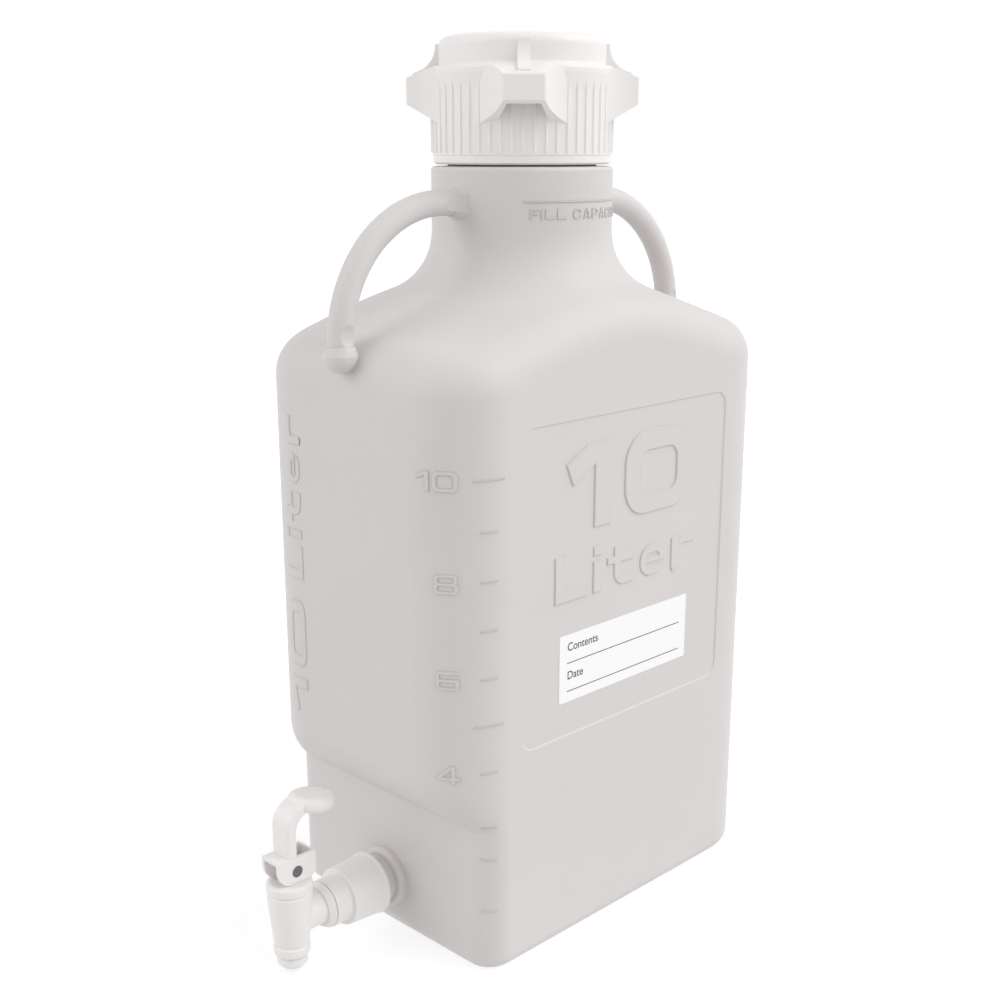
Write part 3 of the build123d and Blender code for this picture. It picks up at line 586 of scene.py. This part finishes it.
class FrontLettering(bpy.types.Operator):
    """Raises the capacity on the left of the front face, reading upwards."""

    bl_idname = "carboy.front_lettering"
    bl_label = "Capacity on the front"

    # Each word, the height at which it starts and how much its signs are drawn out.
    words = (("10", 119 * MM, 2.1), ("Liter", 200 * MM, 1.36))

    def execute(self, context):
        own = settings("vessel")
        height, gap, base = 14.5 * MM, 0.20, 41 * MM

        def words(u, v):
            """Wide figures and then the unit, both from the sign table."""
            return np.minimum.reduce([word_distance(u, v, word, start, base, height, gap, stretch)
                                      for word, start, stretch in self.words])

        # the last number, 0.5, is the strength of the painted shade on the letters' outlines
        piece = relief("front_capacity", (115 * MM, 40 * MM, 298 * MM, 60 * MM), 0.27 * MM,
                       words, own.front_relief, 0.6 * MM, on_front_upward, 0.5)
        finish_mark(piece)
        return {"FINISHED"}


class LevelScale(bpy.types.Operator):
    """Raises the level strokes and their numbers round the front right corner."""

    bl_idname = "carboy.level_scale"
    bl_label = "Level scale"

    # Heights of the strokes and numbers, and each kind of stroke's two ends, in millimetres.
    levels = (272.7, 246.8, 221.2, 195.7, 170.1, 144.6, 118.6)
    numbers = (("10", 272.4), ("8", 220.6), ("6", 170.1), ("4", 118.6))
    lower = (86.6, 67.4, 37.3)
    long_stroke = (-21.6, -4.2)
    short_stroke = (-17.8, -8.3)
    lower_stroke = (-17.0, -8.3)
    numbers_end = -28.3

    def execute(self, context):
        own = settings("vessel")
        radius = own.corner_radius
        place = on_corner(radius, BODY_HIGH.x - radius, FRONT + radius)
        for count, z in enumerate(self.levels):
            ends = self.short_stroke if count % 5 else self.long_stroke
            self.stroke(f"level_{10 - count}", ends, z * MM, place)
        for word, z in self.numbers:
            self.number(word, z * MM, place)
        for count, z in enumerate(self.lower):
            self.stroke(f"level_{3 - count}", self.lower_stroke, z * MM, on_recess_corner)
        return {"FINISHED"}

    def stroke(self, name, ends, z, place):
        """One level stroke: a bar 0.9 mm high with soft edges."""
        left, right, half = ends[0] * MM, ends[1] * MM, 0.45 * MM

        def bar(u, v):
            """Distance to the stroke's box."""
            return box_distance(u, v, (left, z - half, right, z + half))

        span = (left - MM, z - 1.2 * MM, right + MM, z + 1.2 * MM)
        # full-strength painted shade darkens the whole thin stroke into a dark line
        piece = relief(name, span, 0.12 * MM, bar, settings("vessel").mark_relief, 0.4 * MM, place)
        finish_mark(piece)

    def number(self, word, z, place):
        """One number, ending at the same place as the others on the corner's arc."""
        height, gap = 10.5 * MM, 0.13
        end = self.numbers_end * MM
        start = end - word_width(word, height, gap)

        def signs(u, v):
            """Distance to the number's signs."""
            return word_distance(u, v, word, start, z - height / 2, height, gap)

        span = (start - MM, z - height / 2 - MM, end + MM, z + height / 2 + MM)
        # full-strength painted shade darkens the number's outlines
        piece = relief("level_number_" + word, span, 0.11 * MM, signs,
                       settings("vessel").mark_relief, 0.35 * MM, place)
        finish_mark(piece)


class FillLine(bpy.types.Operator):
    """Raises the fill line round a quarter of the neck, and the two words under it."""

    bl_idname = "carboy.fill_line"
    bl_label = "Fill line"

    level = 400.6 * MM

    def execute(self, context):
        own = settings("vessel")
        radius = own.neck_radius
        place = on_neck(radius)
        z, half, quarter = self.level, 0.5 * MM, radius * math.pi / 4

        def line(u, v):
            """Distance to the line's box."""
            return box_distance(u, v, (-quarter, z - half, quarter, z + half))

        span = (-quarter - MM, z - 1.5 * MM, quarter + MM, z + 1.5 * MM)
        # full-strength painted shade darkens the thin fill line
        piece = relief("fill_line", span, 0.2 * MM, line, own.mark_relief, 0.5 * MM, place)
        finish_mark(piece)
        word, height, gap = "FILL CAPACITY", 5.4 * MM, 0.22
        width = word_width(word, height, gap)

        def words(u, v):
            """Distance to the two words, centred under the line."""
            return word_distance(u, v, word, -width / 2, z - 9 * MM, height, gap)

        span = (-width / 2 - MM, z - 10 * MM, width / 2 + MM, z - 2.6 * MM)
        # full-strength painted shade darkens the words' outlines
        piece = relief("fill_words", span, 0.12 * MM, words, own.mark_relief, 0.35 * MM, place)
        finish_mark(piece)
        return {"FINISHED"}


def thread(name, radius, crest, low, high, pitch, phase):
    """A screw thread between two heights: a profile carried along a helix.

    The profile is a closed five-point ridge from radius to crest; the helix rises by pitch in
    each turn from low to high, and the ridge grows from nothing over the first and the last
    sixth of a turn, as sin squared.
    """
    turns = (high - low) / pitch
    steps = int(turns * 72) + 1
    t = np.linspace(0, turns, steps)[:, None]
    angle = 2 * np.pi * t + phase
    ends = np.clip(np.minimum(t, turns - t) * 6, 0, 1)
    grow = np.sin(ends * np.pi / 2) ** 2
    foot = radius - math.copysign(BURIED, crest - radius)
    across = np.array([-1.15, -0.95, -0.45, 0.45, 0.95, 1.15]) * MM
    out = np.array([0, 0.3, 1.0, 1.0, 0.3, 0])
    reach = foot + (crest - foot) * out[None] * grow
    z = low + pitch * t + across[None] * (0.3 + 0.7 * grow)
    points = np.stack([reach * np.cos(angle), reach * np.sin(angle), z], -1)
    if crest > radius:
        points = points[:, ::-1]
    return surface(name, points[:, ::-1])


class Threads(bpy.types.Operator):
    """Cuts the matching screw threads on the neck's finish and inside the cap."""

    bl_idname = "carboy.threads"
    bl_label = "Screw threads"

    depth = 1.1 * MM
    neck_low, neck_high = 446 * MM, 468 * MM
    cap_low, cap_high = 455.3 * MM, 474 * MM

    def execute(self, context):
        """The cap's ridge runs half a turn from the neck's, midway between its turns."""
        own, cap = settings("vessel"), settings("cap")
        piece = thread("neck_thread", own.finish_radius, own.finish_radius + self.depth,
                       self.neck_low, self.neck_high, cap.pitch, 0.0)
        finish_mark(piece)
        start = 2 * math.pi * (self.cap_low - self.neck_low) / cap.pitch + math.pi
        piece = thread("cap_thread", cap.bore_radius, cap.bore_radius - self.depth,
                       self.cap_low, self.cap_high, cap.pitch, start)
        finish_piece(piece, polypropylene(), "cap")
        return {"FINISHED"}


class CapFinish(bpy.types.Operator):
    """Dresses the cap in satin polypropylene and its disc in soft foam."""

    bl_idname = "carboy.cap_finish"
    bl_label = "Cap and its gasket"

    def execute(self, context):
        dress(polypropylene(), "cap")
        foam = plastic("soft_foam", (0.78, 0.78, 0.76), 0.9, 2600.0, 0.12 * MM, 0.02)
        dress(foam, "cap_gasket")
        return {"FINISHED"}


class SpigotFinish(bpy.types.Operator):
    """Dresses the spigot's plastics, pin and soft seals."""

    bl_idname = "carboy.spigot_finish"
    bl_label = "Spigot"

    def execute(self, context):
        dress(polypropylene(), "nozzle_closure", "spigot_body", "bonnet", "lever", "valve_stem")
        dress(plastic("soft_silicone", (0.74, 0.74, 0.72), 0.35, 900.0, 0.02 * MM, 0.01,
                      subsurface=0.2), "seat_cup", "nozzle_gasket")
        dress(plastic("grey_pin", (0.115, 0.115, 0.12), 0.4, 1800.0, 0.02 * MM, 0.05),
              "lever_pin")
        return {"FINISHED"}


class ValveSpring(bpy.types.Operator):
    """Winds the valve's spring as a coil of fixed length; in the valve it shortens towards the
    bonnet as the stem lifts.

    A wire of that radius follows a helix that rises evenly between the ends of the node's box;
    each end shrinks to a point.
    """

    bl_idname = "carboy.valve_spring"
    bl_label = "Valve spring"

    turns = 5.0
    wire = 0.55 * MM
    travel = 5.5 * MM            # of the stem

    def execute(self, context):
        low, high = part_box("spring")
        middle = ((low.x + high.x) / 2, (low.y + high.y) / 2, low.z + self.wire)
        reach = (high.x - low.x) / 2 - self.wire
        rise = high.z - low.z - 2 * self.wire
        share = np.linspace(0, 1, 241)[None]
        around = np.linspace(0, 2 * np.pi, 12, endpoint=False)[:, None, None]
        angle = 2 * np.pi * self.turns * share
        slope = rise / (2 * np.pi * self.turns * reach)
        none = np.zeros_like(angle)
        out = np.stack([np.cos(angle), np.sin(angle), none], -1)
        across = np.stack([-slope * np.sin(angle), slope * np.cos(angle), none - 1], -1)
        across /= math.hypot(1, slope)
        line = np.array(middle) + reach * out + np.stack([none, none, rise * share], -1)
        thick = self.wire * np.where(np.minimum(share, 1 - share) > 0, 1, 0.01)[..., None]
        coil = surface("valve_spring",
                       line + thick * (np.cos(around) * out + np.sin(around) * across),
                       close_u=True)
        steel = plastic("spring_steel", (0.55, 0.55, 0.56), 0.25, 3000.0, 0.005 * MM, 0.02,
                        Metallic=1.0)
        finish_piece(coil, steel, "carboy")
        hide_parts("spring")
        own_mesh(coil)
        return {"FINISHED"}


def lettering(name, text, size, left, base, weight, level):
    """Printed words as a flat mesh on the +X side: the font's x runs along Y and its y is up."""
    curve = bpy.data.curves.new(name, "FONT")
    curve.body, curve.size, curve.offset, curve.resolution_u = text, size, weight, 6
    holder = bpy.data.objects.new(name + "_line", curve)
    bpy.context.scene.collection.objects.link(holder)
    bpy.context.view_layer.update()
    mesh = bpy.data.meshes.new_from_object(holder)
    bpy.data.objects.remove(holder)
    bpy.data.curves.remove(curve)
    points = np.empty(len(mesh.vertices) * 3, np.float32)
    mesh.vertices.foreach_get("co", points)
    points = points.reshape(-1, 3)
    placed = np.stack([np.full(len(points), level), left + points[:, 0], base + points[:, 1]], -1)
    mesh.vertices.foreach_set("co", placed.astype(np.float32).ravel())
    mesh.update()
    mesh.name = name
    piece = bpy.data.objects.new(name, mesh)
    bpy.context.scene.collection.objects.link(piece)
    return piece


def rule(name, left, right, z, width, level):
    """A flat printed line on the +X side, level, from left to right along Y."""
    y, height = np.meshgrid([left, right], [z - width / 2, z + width / 2], indexing="ij")
    return surface(name, np.stack([np.full(y.shape, level), y, height], -1)[:, ::-1])


class LabelPrint(bpy.types.Operator):
    """Prints the write-on label: two rows, each a small word over a ruled line."""

    bl_idname = "carboy.label_print"
    bl_label = "Label"

    def execute(self, context):
        own = settings("label")
        dress(plastic("label_film", own.film, 0.3, 900.0, 0.004 * MM, 0.004), "label")
        ink = plastic("grey_ink", own.ink, 0.35, 900.0, 0.003 * MM, 0.05)
        level = LABEL_HIGH.x + LABEL_LIFT
        left, right = LABEL_LOW.y + own.margin, LABEL_HIGH.y - own.margin
        row = (LABEL_HIGH.z - LABEL_LOW.z - own.margin) / 2
        for count, word in enumerate(("Contents", "Date")):
            z = LABEL_HIGH.z - (count + 1) * row
            words = lettering("label_word_" + word.lower(), word, own.word_size, left,
                              z + row - own.margin - own.word_size / 2, 0.06 * MM, level)
            finish_piece(words, ink, "carboy")
            line = rule("label_rule_" + word.lower(), left, right, z, own.rule_width, level)
            finish_piece(line, ink, "carboy")
        return {"FINISHED"}


def sun(name, strength):
    """A broad far lamp of the table, turned to shine from its heading and height."""
    heading, height = LAMPS[name]
    data = bpy.data.lights.new(name, "SUN")
    data.energy, data.angle = strength, math.radians(LAMP_SPREAD)
    holder = bpy.data.objects.new(name, data)
    bpy.context.scene.collection.objects.link(holder)
    holder.rotation_euler = (math.radians(90 - height), 0, math.radians(heading + 90))


def seen(tree, shown, hidden):
    """One shader for camera, mirror and glass rays, and another for the light it gives."""
    rays = add(tree, "ShaderNodeLightPath")
    either = add(tree, "ShaderNodeMath", operation="MAXIMUM")
    any_of = add(tree, "ShaderNodeMath", operation="MAXIMUM")
    mix = add(tree, "ShaderNodeMixShader")
    link = tree.links.new
    link(rays.outputs["Is Camera Ray"], either.inputs[0])
    link(rays.outputs["Is Glossy Ray"], either.inputs[1])
    link(either.outputs[0], any_of.inputs[0])
    link(rays.outputs["Is Transmission Ray"], any_of.inputs[1])
    link(any_of.outputs[0], mix.inputs["Fac"])
    link(hidden.outputs[0], mix.inputs[1])
    link(shown.outputs[0], mix.inputs[2])
    return mix


class Stage(bpy.types.Operator):
    """Sets the pale floor, the white surround, the soft lamps and the camera."""

    bl_idname = "carboy.stage"
    bl_label = "Stage, lamps and camera"

    def execute(self, context):
        own = settings("stage")
        scene = context.scene
        scene.view_settings.view_transform = "Standard"
        self.floor(own)
        self.surround(scene, own)
        for name in LAMPS:
            sun(name, getattr(own, name))
        self.camera(scene, own)
        return {"FINISHED"}

    def floor(self, own):
        """A flat disc whose grey paper and glow add up to white where no shadow falls."""
        turn = np.linspace(0, 2 * np.pi, 65)[:, None]
        reach = np.linspace(0, own.floor_size, 9)[None]
        points = np.stack([reach * np.cos(turn), reach * np.sin(turn),
                           np.full((65, 9), -0.4 * MM)], -1)
        floor = surface("floor", points)
        material, tree, bsdf = shader("floor_paper", (0.42, 0.42, 0.42), 0.9)
        bsdf.inputs["Specular IOR Level"].default_value = 0.0
        glow = add(tree, "ShaderNodeEmission", {"Strength": own.floor_glow})
        paper = add(tree, "ShaderNodeAddShader")
        bounce = add(tree, "ShaderNodeEmission", {"Strength": own.floor_bounce})
        tree.links.new(bsdf.outputs[0], paper.inputs[0])
        tree.links.new(glow.outputs[0], paper.inputs[1])
        mix = seen(tree, paper, bounce)
        tree.links.new(mix.outputs[0], tree.nodes["Material Output"].inputs["Surface"])
        floor.data.materials.append(material)

    def surround(self, scene, own):
        """A soft grey light all round, seen as white."""
        world = bpy.data.worlds.new("surround")
        world.use_nodes = True
        tree = world.node_tree
        plain = tree.nodes["Background"]
        plain.inputs["Color"].default_value = (1, 1, 1, 1)
        plain.inputs["Strength"].default_value = own.fill_light
        white = add(tree, "ShaderNodeBackground", {"Color": (1, 1, 1, 1), "Strength": 1.0})
        mix = seen(tree, white, plain)
        tree.links.new(mix.outputs[0], tree.nodes["World Output"].inputs["Surface"])
        scene.world = world

    def camera(self, scene, own):
        """A camera with a square picture of 1000 by 1000 in mind."""
        data = bpy.data.cameras.new("camera")
        data.lens, data.sensor_width, data.sensor_fit = own.lens, 36.0, "HORIZONTAL"
        data.shift_y = own.shift_up
        data.clip_start, data.clip_end = 0.01, 50
        holder = bpy.data.objects.new("camera", data)
        scene.collection.objects.link(holder)
        holder.location = own.eye
        holder.rotation_euler = (math.pi / 2 - own.pitch, 0, own.heading)
        scene.camera = holder


STEPS = (Vessel, CapacityPanel, FrontLettering, LevelScale, FillLine, Threads, CapFinish,
         SpigotFinish, ValveSpring, LabelPrint, Stage)


class CarboyPanel(bpy.types.Panel):
    """Lists the pieces and the sizes that they use."""

    bl_idname = "VIEW3D_PT_carboy"
    bl_label = "Carboy"
    bl_space_type = "VIEW_3D"
    bl_region_type = "UI"
    bl_category = "Carboy"

    def draw(self, context):
        layout = self.layout
        for step in STEPS:
            layout.operator(step.bl_idname)
        for group in SETTINGS:
            box = layout.box()
            box.label(text=group.capitalize())
            values = settings(group)
            for key in SETTINGS[group].__annotations__:
                box.prop(values, key)


CLASSES = (*SETTINGS.values(), *STEPS, CarboyPanel)


def register():
    """Registers the classes and hangs the settings on the scene."""
    for cls in CLASSES:
        bpy.utils.register_class(cls)
    for group, cls in SETTINGS.items():
        setattr(bpy.types.Scene, "carboy_" + group, bpy.props.PointerProperty(type=cls))


def unregister():
    """Takes the settings and the classes away again."""
    for group in SETTINGS:
        delattr(bpy.types.Scene, "carboy_" + group)
    for cls in reversed(CLASSES):
        bpy.utils.unregister_class(cls)


def main():
    """Makes every piece in order."""
    register()
    for step in STEPS:
        group, name = step.bl_idname.split(".")
        getattr(getattr(bpy.ops, group), name)()


if __name__ == "__main__":
    main()
